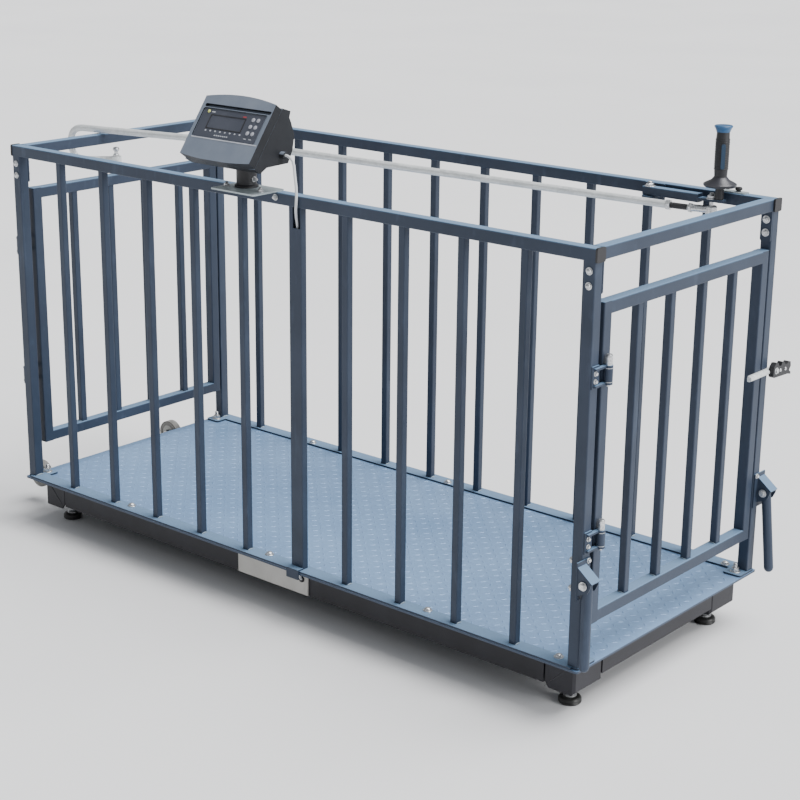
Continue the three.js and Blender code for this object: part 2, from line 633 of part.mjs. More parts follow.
function frontShell() {
  const left = CASE_LEFT - HOUSING_X;
  const right = CASE_RIGHT - HOUSING_X;
  const outline = [];
  for (let i = 0; i <= 12; i += 1) {
    const t = i / 12;
    outline.push([left + (right - left) * t, FACE_LOW - FACE_BULGE_LOW * 4 * t * (1 - t)]);
  }
  for (let i = 0; i <= 12; i += 1) {
    const t = i / 12;
    outline.push([right - (right - left) * t, FACE_HIGH + FACE_BULGE_HIGH * 4 * t * (1 - t)]);
  }
  const shell = prism('z', outline, -24, 0);
  const panel = prism('z', rounded(-113, 108, 46, 128, 6, 3), -3, 1);
  const browSlot = prism('z', rounded(-113, 115, 130, 139, 4, 3), -10, 1);
  const windowSeat = prism('z', rounded(-78, 40, 73, 112, 4), -8, 1);
  const clip = prism('x', UNDERSIDE, CASE_LEFT - 1, CASE_RIGHT + 1);
  return onFace(shell.subtract(panel).subtract(browSlot).subtract(windowSeat)).intersect(clip);
}

function displayWindow() {
  return onFace(prism('z', rounded(-77.6, 39.6, 73.4, 111.6, 4), -7.7, -3.4));
}

function keypad() {
  const parts = [prism('z', rounded(56, 95, 64, 121, 4), -2.7, -1.9)];
  for (const x of KEY_COLUMNS) {
    for (const y of KEY_ROWS) parts.push(cylinder('z', 6, x, y, -2.2, -1.3));
  }
  return onFace(join(parts));
}

function rearShell() {
  const profile = [[-371, 1328.7], [-375.4, 1313.3], [-369.6, 1301.7], [-358.3, 1268.7], [-365, 1232.6], [-381, 1202.2],
    [-456, 1200], [-477.3, 1188.1], [-498.2, 1199.9], [-398.2, 1337.5]];
  const body = prism('x', profile, CASE_LEFT, CASE_RIGHT);
  const gland = cylinder('x', 9, -404, 1225, CASE_RIGHT - 4, CASE_RIGHT + 14);
  const bore = cylinder('x', CABLE_RADIUS + 1, -404, 1225, CASE_RIGHT + 2, CASE_RIGHT + 16);
  return join(body, gland).subtract(bore);
}

function signalCable() {
  const path = [
    [CASE_RIGHT + 4, -404, 1225], [CASE_RIGHT + 20, -404, 1225], [CASE_RIGHT + 38, -404.5, 1214], [113, -405, 1180],
    [118, -405, 1140], [117, -405, 1112], [114, -403.5, 1096], [109, -397, 1078], [104, -388, 1056],
    [CABLE_POST_X, CABLE_DROP_Y, 1025], [CABLE_POST_X, CABLE_DROP_Y, 800], [CABLE_POST_X, CABLE_DROP_Y, 500],
    [CABLE_POST_X, CABLE_DROP_Y, 250], [CABLE_POST_X, CABLE_DROP_Y, 150], [CABLE_POST_X, CABLE_DROP_Y, 130],
    [101, -383.5, 117], [98.5, -376.5, 107], [CABLE_ENTRY_X, -367, CABLE_ENTRY_Z], [91, -353, 100], [76, -345, 97],
    [60.5, -344, 96],
  ];
  const route = new THREE.CatmullRomCurve3(toVectors(path), false, 'centripetal');
  return sweep(route.getPoints(3 * (path.length - 1)), CABLE_RADIUS, 8);
}

// ---- assembly ----
node('deck_plate', deckPlate(), SLATE_PAINT);
node('side_beam_near', sideBeam(-1), DARK_PAINT);
node('side_beam_far', sideBeam(1), DARK_PAINT);
node('end_beam_left', endBeam(-1), DARK_PAINT);
node('end_beam_right', endBeam(1), DARK_PAINT);
node('junction_cover', junctionCover(), PALE_PLATE);
node('junction_box', junctionBox(), BLACK_PLASTIC);
node('side_panel_near', sidePanel(-1), SLATE_PAINT);
node('side_panel_far', sidePanel(1), SLATE_PAINT);
node('cable_post', cablePost(), SLATE_PAINT);

for (const [endName, end] of [['left', -1], ['right', 1]]) {
  node(`end_rail_${endName}`, endRail(end), SLATE_PAINT);
  node(`gate_${endName}`, gate(end), SLATE_PAINT);
  for (const [level, z] of [['lower', HINGE_HEIGHTS[0]], ['upper', HINGE_HEIGHTS[1]]]) {
    node(`hinge_bracket_${endName}_${level}`, hingeBracket(end, z), SLATE_PAINT);
    node(`hinge_pin_${endName}_${level}`, hingePin(end, z), STEEL);
  }
  for (const [sideName, side] of [['near', -1], ['far', 1]]) {
    node(`load_cell_${endName}_${sideName}`, loadCell(end, side), STEEL);
    node(`foot_${endName}_${sideName}`, levellingFoot(end, side), RUBBER);
    node(`end_cap_${endName}_${sideName}`, endCap(end, side), BLACK_PLASTIC);
  }
}

node('latch_strap', latchStrap(), ZINC);
node('latch_lever', latchLever(), BLACK_PLASTIC);

for (const [sideName, side] of [['near', -1], ['far', 1]]) {
  node(`handle_bracket_${sideName}`, handleBracket(side), SLATE_PAINT);
  node(`handle_tube_${sideName}`, handleTube(side), SLATE_PAINT);
  node(`wheel_bracket_${sideName}`, wheelBracket(side), DARK_PAINT);
  node(`wheel_hub_${sideName}`, wheelHub(side), PALE_HUB);
  node(`tyre_${sideName}`, tyre(side), GREY_TYRE);
}

node('lever_bracket', leverBracket(), SLATE_PAINT);
node('lever_arm', leverArm(), SLATE_PAINT);
node('grip', grip(), BLACK_PLASTIC);
node('grip_cap', gripCap(), BLUE_PLASTIC);
node('rod_end', rodEnd(), STEEL);
node('push_rod', pushRod(), ZINC);
node('gate_pin', gatePin(), STEEL);

node('indicator_bracket', indicatorBracket(), PALE_PLATE);
node('indicator_pole', pole(), BLACK_PLASTIC);
node('indicator_front', frontShell(), BLACK_PLASTIC);
node('indicator_rear', rearShell(), BLACK_PLASTIC);
node('display_window', displayWindow(), DARK_GLASS);
node('keypad', keypad(), BLACK_PLASTIC);
node('signal_cable', signalCable(), CABLE_GREY);

crate.position.set(OFFSET_X, OFFSET_Y, 0);
crate.updateMatrixWorld(true);

export default crate;
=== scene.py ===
"""Looks for the animal weighing scale: materials, floor, light, camera and small fittings.

Blender works in metres, +Z up. The places below are millimetres from the crate's own middle, and at()
turns them into metres in the row frame.
"""

import json
import math

import bpy
from mathutils import Matrix, Vector


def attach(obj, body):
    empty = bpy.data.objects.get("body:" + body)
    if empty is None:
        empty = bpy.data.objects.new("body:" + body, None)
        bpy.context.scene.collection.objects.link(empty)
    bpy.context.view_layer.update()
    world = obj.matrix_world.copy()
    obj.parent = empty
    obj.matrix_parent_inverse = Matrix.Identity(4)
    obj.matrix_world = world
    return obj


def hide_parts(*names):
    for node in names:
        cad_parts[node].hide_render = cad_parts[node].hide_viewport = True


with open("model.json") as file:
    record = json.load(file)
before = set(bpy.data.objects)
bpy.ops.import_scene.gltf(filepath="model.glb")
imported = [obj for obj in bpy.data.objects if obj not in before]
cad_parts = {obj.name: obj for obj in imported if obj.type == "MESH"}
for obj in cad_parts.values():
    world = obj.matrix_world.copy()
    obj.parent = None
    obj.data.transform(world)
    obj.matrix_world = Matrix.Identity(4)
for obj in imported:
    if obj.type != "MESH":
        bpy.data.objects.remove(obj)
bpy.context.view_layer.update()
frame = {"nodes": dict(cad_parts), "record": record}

# The crate's own middle lies this far from the row frame's origin, in metres.
CRATE_X = 0.04757
CRATE_Y = 0.0167

# The camera, in metres and degrees. The azimuth turns from the near side towards the right end.
CAMERA_PLACE = (3.1231, -3.4910, 1.9431)
CAMERA_AZIMUTH = 40.178
CAMERA_ELEVATION = 17.271
CAMERA_ROLL = 0.63
CAMERA_LENS = 79.88

# Cage and base. The near and far sides, and the left and right ends, mirror each other.
POST_X = 980
RAIL_Y = 385
FRAME_Y = 400
RAIL_BOTTOM = 1100
DECK_TOP = 140
STRIP_TOP = 145.3
BAR_PITCH = 2 * POST_X / 11
CABLE_POST_SPACE = 6
GATE_BAR_PLACES = (-201, -62, 78, 217)
HINGE_HEIGHTS = (453, 841)
COVER_FACE_Y = -370.3
FOOT_X = 915
FOOT_Y = 308
WHEEL_X = -1105
WHEEL_Y = 269
WHEEL_Z = 86
HANDLE_PIVOT_Z = 363

# Opening gear.
LEVER_Y = 343
GRIP_X = 857
LEVER_X = 654
LEVER_TOP = 1124
TONGUE_TOP = 1115
BALL_X = 836
BALL_Z = 1087
ROD_BEND = (-1079, -117)
ROD_SLOPE = 56 / 1500

# Indicator: its pole, and its sloping face. Depths are outward from the face's own plane.
POLE_X = -45
POLE_Y = -413
BRACKET_TOP = 1134.3
FACE_ORIGIN = (-50, -514, 1220)
FACE_LEAN = math.radians(36)
FILM_TOP = -2.4

UP = (0, 0, 1)


def at(x, y, z):
    """Millimetres from the crate's middle, to metres in the row frame."""
    return Vector((x / 1000 + CRATE_X, y / 1000 + CRATE_Y, z / 1000))


# ---- camera ----
def make_camera():
    """Looks along the azimuth and elevation, with a slight roll."""
    azimuth = math.radians(CAMERA_AZIMUTH)
    elevation = math.radians(CAMERA_ELEVATION)
    roll = math.radians(CAMERA_ROLL)
    back = Vector((math.sin(azimuth) * math.cos(elevation), -math.cos(azimuth) * math.cos(elevation),
                   math.sin(elevation)))
    right = (-back).cross(Vector(UP)).normalized()
    up = right.cross(-back)
    tilted_right = right * math.cos(roll) + up * math.sin(roll)
    tilted_up = up * math.cos(roll) - right * math.sin(roll)
    data = bpy.data.cameras.new("camera")
    data.sensor_width = 36
    data.lens = CAMERA_LENS
    data.clip_end = 200
    camera = bpy.data.objects.new("camera", data)
    turn = Matrix((tilted_right, tilted_up, back)).transposed().to_4x4()
    camera.matrix_world = Matrix.Translation(CAMERA_PLACE) @ turn
    bpy.context.collection.objects.link(camera)
    bpy.context.scene.camera = camera


make_camera()


# ---- materials ----
class Material:
    """A Principled material with short calls for the procedural nodes that feed it."""

    def __init__(self, name, roughness=0.5, metallic=0.0, shine=0.5):
        self.data = bpy.data.materials.new(name)
        self.data.use_nodes = True
        self.tree = self.data.node_tree
        self.shader = self.tree.nodes["Principled BSDF"]
        self.shader.inputs["Roughness"].default_value = roughness
        self.shader.inputs["Metallic"].default_value = metallic
        self.shader.inputs["Specular IOR Level"].default_value = shine
        self.place = self.tree.nodes.new("ShaderNodeTexCoord").outputs["Object"]

    def node(self, kind, **inputs):
        made = self.tree.nodes.new(kind)
        for name, value in inputs.items():
            socket = made.inputs[name.replace("_", " ")]
            if isinstance(value, bpy.types.NodeSocket):
                self.tree.links.new(value, socket)
            else:
                socket.default_value = value
        return made

    def stretched(self, scale):
        mapping = self.node("ShaderNodeMapping", Vector=self.place)
        mapping.inputs["Scale"].default_value = scale
        return mapping.outputs["Vector"]

    def upward(self, low, high):
        """0 on an upright face, 1 on one that looks at the sky."""
        normal = self.tree.nodes.new("ShaderNodeNewGeometry").outputs["Normal"]
        up = self.node("ShaderNodeSeparateXYZ", Vector=normal).outputs["Z"]
        return self.node("ShaderNodeMapRange", Value=up, From_Min=low, From_Max=high).outputs["Result"]

    def noise(self, scale, detail, stretch=None):
        vector = self.stretched(stretch) if stretch else self.place
        return self.node("ShaderNodeTexNoise", Vector=vector, Scale=scale, Detail=detail).outputs["Fac"]

    def cells(self, scale):
        made = self.node("ShaderNodeTexVoronoi", Vector=self.place, Scale=scale)
        bright = self.node("ShaderNodeSeparateColor", Color=made.outputs["Color"])
        return bright.outputs["Red"]

    def ramp(self, fac, stops):
        made = self.node("ShaderNodeValToRGB", Fac=fac)
        ramp = made.color_ramp
        while len(ramp.elements) < len(stops):
            ramp.elements.new(0.5)
        for element, (position, color) in zip(ramp.elements, stops):
            element.position = position
            element.color = (*color, 1)
        return made.outputs["Color"]

    def mix(self, fac, first, second, blend="MIX"):
        made = self.tree.nodes.new("ShaderNodeMix")
        made.data_type = "RGBA"
        made.blend_type = blend
        for index, value in ((0, fac), (6, first), (7, second)):
            if isinstance(value, bpy.types.NodeSocket):
                self.tree.links.new(value, made.inputs[index])
            else:
                made.inputs[index].default_value = value if index == 0 else (*value, 1)
        return made.outputs[2]

    def color(self, socket):
        self.tree.links.new(socket, self.shader.inputs["Base Color"])

    def roughness(self, fac, low, high):
        made = self.node("ShaderNodeMapRange", Value=fac, To_Min=low, To_Max=high)
        self.tree.links.new(made.outputs["Result"], self.shader.inputs["Roughness"])

    def bump(self, height, depth):
        made = self.node("ShaderNodeBump", Height=height, Distance=depth, Strength=1.0)
        self.tree.links.new(made.outputs["Normal"], self.shader.inputs["Normal"])


def powder_coat(name, dark, light, painted_top_light):
    """Satin powder coat: fine orange peel and rubbed patches, with painted top light: faces that look at the
    sky take a much lighter colour.
    """
    mat = Material(name, shine=0.22)
    cloud = mat.noise(6, 5)
    rubbed = mat.noise(38, 6, (1, 1, 0.3))
    peel = mat.noise(420, 2)
    coat = mat.ramp(cloud, [(0.3, dark), (0.7, light)])
    scuff = mat.ramp(rubbed, [(0.60, (1.0, 1.0, 1.0)), (0.74, (1.35, 1.33, 1.3))])
    coat = mat.mix(1.0, coat, scuff, "MULTIPLY")
    # The upward mask lifts sky-facing faces to the last, much lighter colour: painted top light.
    mat.color(mat.mix(mat.upward(0.2, 0.9), coat, painted_top_light))
    mat.roughness(mat.mix(0.5, cloud, rubbed), 0.30, 0.52)
    mat.bump(peel, 0.00025)
    return mat.data


def deck_paint():
    """The same coat on the deck, scuffed on top where animals walk; painted light and shade: a light tone on
    top, dark slate on upright edges and stud sides.
    """
    mat = Material("deck_paint", metallic=0.15)
    patches = mat.noise(3.2, 6)
    scuffs = mat.noise(60, 4, (1, 14, 1))
    grain = mat.noise(500, 2)
    base = mat.ramp(patches, [(0.3, (0.165, 0.285, 0.475)), (0.7, (0.22, 0.355, 0.565))])
    worn = mat.ramp(scuffs, [(0.50, (1.0, 1.0, 1.0)), (0.72, (1.3, 1.27, 1.22))])
    top = mat.mix(1.0, base, worn, "MULTIPLY")
    # Painted shade: upright faces, the deck's edges and the studs' sides, take this dark slate tone, while
    # the top keeps the light painted tone.
    edge = (0.035, 0.055, 0.095)
    mat.color(mat.mix(mat.upward(0.05, 0.3), edge, top))
    mat.roughness(mat.mix(0.5, patches, scuffs), 0.28, 0.5)
    mat.bump(grain, 0.0002)
    return mat.data


def dull_zinc(name, dark, light):
    """Plain galvanised steel: faint crystal spangle, streaks along it and duller patches."""
    mat = Material(name, metallic=0.35)
    spangle = mat.cells(140)
    fine = mat.noise(420, 3)
    streak = mat.noise(9, 5, (0.7, 6, 6))
    base = mat.ramp(mat.mix(0.6, spangle, fine), [(0.2, dark), (0.8, light)])
    dull = mat.ramp(streak, [(0.35, (0.84, 0.85, 0.86)), (0.65, (1.0, 1.0, 1.0))])
    mat.color(mat.mix(1.0, base, dull, "MULTIPLY"))
    mat.roughness(mat.mix(0.5, spangle, fine), 0.34, 0.55)
    mat.bump(fine, 0.0002)
    return mat.data


def painted(name, dark, light, roughness=(0.42, 0.62)):
    """Sprayed paint with a slight orange-peel skin and settled dust."""
    mat = Material(name, shine=0.3)
    dust = mat.noise(11, 6)
    peel = mat.noise(320, 2)
    mat.color(mat.ramp(dust, [(0.35, dark), (0.75, light)]))
    mat.roughness(dust, *roughness)
    mat.bump(peel, 0.0002)
    return mat.data


def bright_steel():
    """Zinc-plated fastener with small tarnish spots."""
    mat = Material("bright_steel", metallic=0.85)
    spots = mat.noise(260, 4)
    mat.color(mat.ramp(spots, [(0.35, (0.42, 0.43, 0.44)), (0.65, (0.72, 0.73, 0.74))]))
    mat.roughness(spots, 0.22, 0.42)
    mat.bump(spots, 0.0002)
    return mat.data


def plastic(name, dark, light, grain=900, depth=0.00012, roughness=(0.4, 0.6)):
    """Moulded plastic with its mould grain and uneven sheen."""
    mat = Material(name)
    cloud = mat.noise(14, 4)
    skin = mat.noise(grain, 2)
    mat.color(mat.ramp(cloud, [(0.3, dark), (0.75, light)]))
    mat.roughness(mat.mix(0.5, cloud, skin), *roughness)
    mat.bump(skin, depth)
    return mat.data


def case_plastic():
    """The indicator's textured case: black, with a painted sky reflection, a blue-grey tone, on the faces
    that look up.
    """
    mat = Material("case_plastic", shine=0.2)
    cloud = mat.noise(14, 4)
    skin = mat.noise(800, 2)
    black = mat.ramp(cloud, [(0.3, (0.014, 0.015, 0.018)), (0.75, (0.022, 0.024, 0.028))])
    painted_sky_sheen = mat.ramp(cloud, [(0.3, (0.155, 0.185, 0.235)), (0.75, (0.20, 0.23, 0.28))])
    # Faces that look up take the blue-grey tone: a painted sky reflection on the black plastic.
    mat.color(mat.mix(mat.upward(0.25, 0.5), black, painted_sky_sheen))
    mat.roughness(mat.mix(0.5, cloud, skin), 0.34, 0.5)
    mat.bump(skin, 0.0003)
    return mat.data


def rubber(name, dark, light, roughness=(0.7, 0.92)):
    """Matt rubber with fine pores and settled dust."""
    mat = Material(name, roughness=0.8)
    dust = mat.noise(40, 5)
    pores = mat.noise(700, 3)
    mat.color(mat.ramp(dust, [(0.4, dark), (0.7, light)]))
    mat.roughness(dust, *roughness)
    mat.bump(pores, 0.0003)
    return mat.data


def display_glass():
    """Dark filter in front of the digits, red towards its right end."""
    mat = Material("display_glass", roughness=0.12)
    x = mat.node("ShaderNodeSeparateXYZ", Vector=mat.place).outputs["X"]
    across = mat.node("ShaderNodeMapRange", Value=x, From_Min=-0.01, From_Max=0.03).outputs["Result"]
    smear = mat.noise(30, 4)
    black, dim, red = (0.008, 0.008, 0.010), (0.030, 0.005, 0.008), (0.24, 0.012, 0.030)
    tinted = mat.ramp(across, [(0.0, black), (0.5, dim), (1.0, red)])
    hazed = mat.ramp(smear, [(0.4, (0.85, 0.85, 0.85)), (0.7, (1.2, 1.2, 1.2))])
    mat.color(mat.mix(1.0, tinted, hazed, "MULTIPLY"))
    mat.roughness(smear, 0.08, 0.22)
    return mat.data


# The last colour of each powder coat is its painted top light, the tone its sky-facing faces take.
SLATE_PAINT = powder_coat("slate_paint", (0.026, 0.037, 0.060), (0.038, 0.053, 0.083), (0.16, 0.255, 0.385))
DECK_PAINT = deck_paint()
# The weld beads also carry painted top light in their last, lighter colour.
WELD_PAINT = powder_coat("weld_paint", (0.10, 0.13, 0.17), (0.14, 0.18, 0.22), (0.30, 0.38, 0.45))
ROD_ZINC = dull_zinc("rod_zinc", (0.66, 0.68, 0.68), (0.80, 0.82, 0.82))
BRACKET_ZINC = dull_zinc("bracket_zinc", (0.34, 0.40, 0.42), (0.46, 0.52, 0.54))
DARK_PAINT = painted("dark_paint", (0.013, 0.013, 0.017), (0.026, 0.026, 0.033), (0.35, 0.55))
PALE_PAINT = painted("pale_plate", (0.46, 0.45, 0.42), (0.60, 0.59, 0.56))
STEEL = bright_steel()
BLACK_PLASTIC = plastic("black_plastic", (0.010, 0.010, 0.012), (0.022, 0.022, 0.026))
FLANGE_PLASTIC = plastic("flange_plastic", (0.022, 0.022, 0.028), (0.042, 0.042, 0.052),
                         roughness=(0.25, 0.4))
CASE_PLASTIC = case_plastic()
CASE_DARK = plastic("case_dark", (0.018, 0.018, 0.021), (0.030, 0.030, 0.034), 700, 0.0003)
PANEL_FILM = plastic("panel_film", (0.050, 0.056, 0.076), (0.070, 0.077, 0.100), 1200, 0.00005, (0.28, 0.4))
KEY_PLASTIC = plastic("key_plastic", (0.30, 0.31, 0.36), (0.42, 0.43, 0.48))
MARK_PAINT = plastic("mark_paint", (0.40, 0.42, 0.47), (0.52, 0.54, 0.58))
RED_MARK = plastic("red_mark", (0.30, 0.04, 0.05), (0.42, 0.07, 0.08))
RED_GHOST = plastic("red_ghost", (0.035, 0.008, 0.010), (0.05, 0.012, 0.014), roughness=(0.15, 0.25))
LAMP_YELLOW = plastic("lamp_yellow", (0.62, 0.66, 0.16), (0.78, 0.80, 0.28), roughness=(0.2, 0.35))
BLUE_PLASTIC = plastic("blue_plastic", (0.018, 0.085, 0.20), (0.03, 0.12, 0.27), roughness=(0.28, 0.42))
DEEP_BLUE = plastic("deep_blue", (0.005, 0.030, 0.070), (0.010, 0.045, 0.095), roughness=(0.3, 0.45))
CABLE_SHEATH = plastic("cable_sheath", (0.50, 0.53, 0.56), (0.66, 0.68, 0.70), 1500)
HUB_PLASTIC = plastic("hub_plastic", (0.42, 0.42, 0.40), (0.55, 0.55, 0.52))
FOOT_RUBBER = rubber("foot_rubber", (0.012, 0.012, 0.012), (0.028, 0.028, 0.027), (0.3, 0.5))
TYRE_RUBBER = rubber("tyre_rubber", (0.20, 0.195, 0.185), (0.29, 0.285, 0.27))
GLASS = display_glass()
DARK_STEEL = painted("dark_steel", (0.02, 0.02, 0.022), (0.05, 0.05, 0.055), (0.3, 0.5))

NODE_LOOKS = {
    "deck_plate": DECK_PAINT,
    "indicator_bracket": BRACKET_ZINC,
    "indicator_front": CASE_PLASTIC,
    "indicator_rear": CASE_PLASTIC,
    "keypad": PANEL_FILM,
}
SLOT_LOOKS = {
    "slate_paint": SLATE_PAINT,
    "dark_paint": DARK_PAINT,
    "black_plastic": BLACK_PLASTIC,
    "zinc": ROD_ZINC,
    "steel": STEEL,
    "grey_tyre": TYRE_RUBBER,
    "pale_hub": HUB_PLASTIC,
    "pale_plate": PALE_PAINT,
    "foot_rubber": FOOT_RUBBER,
    "blue_plastic": BLUE_PLASTIC,
    "cable_grey": CABLE_SHEATH,
    "display_glass": GLASS,
}


def dress_nodes():
    """Gives every carried-over CAD node its look, by its own name or by its slot."""
    slots = {part["node"]: part["material_slot"] for part in frame["record"]["subparts"]}
    for name, thing in frame["nodes"].items():
        look = NODE_LOOKS.get(name) or SLOT_LOOKS[slots[name]]
        thing.data.materials.clear()
        thing.data.materials.append(look)


dress_nodes()


# ---- meshes: each shape is a list of points and a list of faces ----
def turned(profile, origin, axis, sides=24):
    """Revolves (radius, height) points about an axis from origin. Both ends lie on the axis."""
    axis = Vector(axis).normalized()
    side = axis.orthogonal().normalized()
    third = axis.cross(side)
    points, faces = [], []
    for radius, height in profile:
        for k in range(sides):
            angle = 2 * math.pi * k / sides
            ring = side * math.cos(angle) + third * math.sin(angle)
            points.append(Vector(origin) + (axis * height + ring * max(radius, 0.01)) / 1000)
    for i in range(len(profile) - 1):
        for k in range(sides):
            a, b = i * sides + k, i * sides + (k + 1) % sides
            faces.append((a, b, b + sides, a + sides))
    faces.append(tuple(reversed(range(sides))))
    faces.append(tuple(range(len(points) - sides, len(points))))
    return points, faces


def slab(outline, origin, across, along, thick):
    """A flat plate: an outline of (across, along) points, given a thickness along the third direction."""
    across, along = Vector(across).normalized(), Vector(along).normalized()
    out = across.cross(along)
    count = len(outline)
    points = []
    for depth in (0, thick):
        points += [Vector(origin) + (across * a + along * b + out * depth) / 1000 for a, b in outline]
    faces = [tuple(reversed(range(count))), tuple(range(count, 2 * count))]
    faces += [(k, (k + 1) % count, (k + 1) % count + count, k + count) for k in range(count)]
    return points, faces


def rounded(a0, a1, b0, b1, radius, steps=4):
    """A rectangle with rounded corners, as an outline for slab."""
    points = []
    corners = ((a1 - radius, b1 - radius), (a0 + radius, b1 - radius), (a0 + radius, b0 + radius),
               (a1 - radius, b0 + radius))
    for corner, (a, b) in enumerate(corners):
        for i in range(steps + 1):
            angle = math.pi / 2 * (corner + i / steps)
            points.append((a + radius * math.cos(angle), b + radius * math.sin(angle)))
    return points


def make(name, shapes, look, body, smooth=False):
    """One object from several shapes, riding on a body."""
    points, faces = [], []
    for shape_points, shape_faces in shapes:
        start = len(points)
        points += [tuple(p) for p in shape_points]
        faces += [tuple(i + start for i in face) for face in shape_faces]
    mesh = bpy.data.meshes.new(name)
    mesh.from_pydata(points, [], faces)
    mesh.materials.append(look)
    if smooth:
        mesh.shade_smooth()
        mesh.set_sharp_from_angle(angle=math.radians(35))
    thing = bpy.data.objects.new(name, mesh)
    bpy.context.collection.objects.link(thing)
    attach(thing, body)
    return thing


# ---- fasteners ----
WASHER_THICK = 1.6


def washer(origin, axis, radius):
    thick = WASHER_THICK
    profile = [(0, 0), (radius, 0), (radius, thick * 0.7), (radius - 0.6, thick), (0, thick)]
    return turned(profile, origin, axis)


def hex_head(origin, axis, radius, height):
    profile = [(0, 0), (radius, 0), (radius, height * 0.8), (radius * 0.84, height), (0, height)]
    return turned(profile, origin, axis, 6)


def dome_head(origin, axis, radius, height):
    angles = (0, 0.35, 0.7, 1.05, 1.35)
    rise = [(radius * math.cos(a), height * (0.25 + 0.75 * math.sin(a))) for a in angles]
    return turned([(0, 0), (radius, 0), *rise, (0, height)], origin, axis)


def shank_end(origin, axis, radius, height):
    """A bolt's threaded end, as fine ridges."""
    profile = [(0, 0)]
    ridges = max(2, int(height / 1.5))
    for i in range(ridges):
        low = height * i / ridges
        profile += [(radius - 0.6, low + 0.01), (radius, low + height / ridges / 2)]
    profile += [(radius - 1, height), (0, height)]
    return turned(profile, origin, axis, 16)


def bolt(origin, axis, radius, height, dome=False):
    """A washer with a bolt head on it. Radius and height are the head's."""
    lift = Vector(axis).normalized() * WASHER_THICK / 1000
    head = dome_head if dome else hex_head
    return [washer(origin, axis, radius * 1.35), head(Vector(origin) + lift, axis, radius, height)]


def nut(origin, axis, radius, height, stud):
    """A washer and nut, with the stud's threaded end standing out of it."""
    lift = Vector(axis).normalized() * (WASHER_THICK + height) / 1000
    end = shank_end(Vector(origin) + lift, axis, radius * 0.55, stud)
    return bolt(origin, axis, radius, height) + [end]


def deck_bolts():
    shapes = []
    for side in (-1, 1):
        for x in (-564, -16, 529, 926):
            shapes += bolt(at(x, side * 377.5, STRIP_TOP), UP, 9, 7, dome=True)
    make("deck_bolts", shapes, STEEL, "crate", smooth=True)


def foot_plate_bolts():
    shapes = []
    for end in (-1, 1):
        for side in (-1, 1):
            shapes += nut(at(end * 971, side * 351, STRIP_TOP), UP, 10.5, 10, 12)
    make("foot_plate_bolts", shapes, STEEL, "crate")


def corner_bolts():
    """Two bolts through each post and the end rail's tab: heads outside, nuts inside."""
    heads, nuts = [], []
    for end in (-1, 1):
        for side in (-1, 1):
            for drop in (21, 54):
                outer = at(end * POST_X, side * FRAME_Y, RAIL_BOTTOM - drop)
                inner = at(end * POST_X, side * 365.7, RAIL_BOTTOM - drop)
                heads += bolt(outer, (0, side, 0), 6.5, 5.5, dome=True)
                nuts += nut(inner, (0, -side, 0), 7.5, 6, 3)
    make("corner_bolt_heads", heads, STEEL, "crate", smooth=True)
    make("corner_bolt_nuts", nuts, STEEL, "crate")


def bead(origin, along, length, radius, out):
    """A short weld bead: a ripply half-round fillet."""
    along, out = Vector(along), Vector(out)
    third = along.cross(out)
    points, faces = [], []
    rings = 7
    for i in range(rings):
        share = i / (rings - 1)
        swell = radius * (0.35 + 0.65 * math.sin(math.pi * share)) * (1 + 0.12 * (-1) ** i)
        for k in range(6):
            angle = math.pi * k / 5
            offset = out * math.sin(angle) + third * math.cos(angle)
            points.append(Vector(origin) + (along * (share - 0.5) * length + offset * swell) / 1000)
    for i in range(rings - 1):
        for k in range(5):
            a = i * 6 + k
            faces.append((a, a + 1, a + 7, a + 6))
        faces.append((i * 6 + 5, i * 6, i * 6 + 6, i * 6 + 11))
    faces.append(tuple(reversed(range(6))))
    faces.append(tuple(range(len(points) - 6, len(points))))
    return points, faces


def bar_welds():
    """Beads where each side bar and corner post meets the bottom strip, and each bar the rail."""
    shapes = []
    for side in (-1, 1):
        for k in range(1, 11):
            x = -POST_X + BAR_PITCH * k
            if side < 0 and k == CABLE_POST_SPACE:
                continue
            for edge in (-1, 1):
                out = Vector((edge, 0, 0.8)).normalized()
                shapes.append(bead(at(x + edge * 10, side * RAIL_Y, STRIP_TOP), (0, 1, 0), 19, 3, out))
                under = Vector((edge, 0, -0.8)).normalized()
                shapes.append(bead(at(x + edge * 10, side * RAIL_Y, RAIL_BOTTOM), (0, 1, 0), 19, 2.4, under))
    for end in (-1, 1):
        for side in (-1, 1):
            inner = end * (POST_X - 15)
            out = Vector((-end, 0, 0.8)).normalized()
            shapes.append(bead(at(inner, side * RAIL_Y, STRIP_TOP), (0, 1, 0), 28, 3.4, out))
    make("bar_welds", shapes, WELD_PAINT, "crate", smooth=True)


def gate_welds():
    """Beads at both ends of each gate bar."""
    for end, body in ((-1, "gate_left"), (1, "gate_right")):
        shapes = []
        for y in GATE_BAR_PLACES:
            for z, up in ((270, 1), (974, -1)):
                for edge in (-1, 1):
                    out = Vector((0, edge, 0.8 * up)).normalized()
                    shapes.append(bead(at(end * POST_X, y + edge * 10, z), (1, 0, 0), 18, 2.4, out))
        make(f"{body}_welds", shapes, WELD_PAINT, body, smooth=True)


# ---- deck ----
def lozenge(x, y, turn):
    """One raised stud of the tread pattern, higher in the middle than at its ends."""
    outline = ((10, 0), (5, 2.6), (-5, 2.6), (-10, 0), (-5, -2.6), (5, -2.6))
    crest = ((6.5, 0), (3.5, 1.3), (-3.5, 1.3), (-6.5, 0), (-3.5, -1.3), (3.5, -1.3))
    cosine, sine = math.cos(turn), math.sin(turn)
    points = []
    for ring, height in ((outline, 0), (crest, 1.0)):
        for a, b in ring:
            points.append(at(x + a * cosine - b * sine, y + a * sine + b * cosine, DECK_TOP + height))
    faces = [(k, (k + 1) % 6, (k + 1) % 6 + 6, k + 6) for k in range(6)]
    faces.append(tuple(range(6, 12)))
    return points, faces


